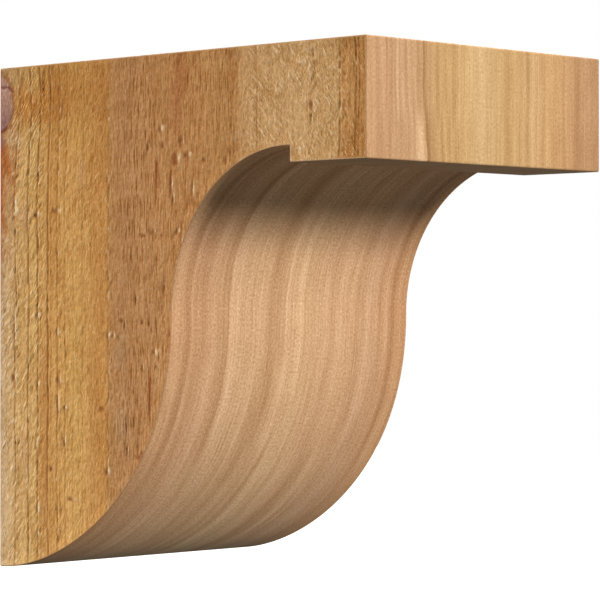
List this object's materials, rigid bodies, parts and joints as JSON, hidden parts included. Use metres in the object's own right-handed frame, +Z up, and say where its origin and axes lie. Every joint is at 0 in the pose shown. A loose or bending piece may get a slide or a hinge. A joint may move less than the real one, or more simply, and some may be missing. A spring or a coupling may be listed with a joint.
{
  "type": "corbel bracket",
  "caption": "Solid timber corbel with a square nosing over an S-curved front, hollow above and full below, and flat top and back faces.",
  "frame": {"origin": "centre of the flat back face, where the corbel meets the wall", "axes": "+X along the width, +Y back into the wall, +Z up; the nosing faces -Y"},
  "size_m": [0.2032, 0.3048, 0.3048],
  "materials": {
    "cedar": "unfinished red cedar, rough sawn on the sides and sanded on the curved front"
  },
  "bodies": {
    "root": {"corbel": "cedar"}
  },
  "joints": []
}
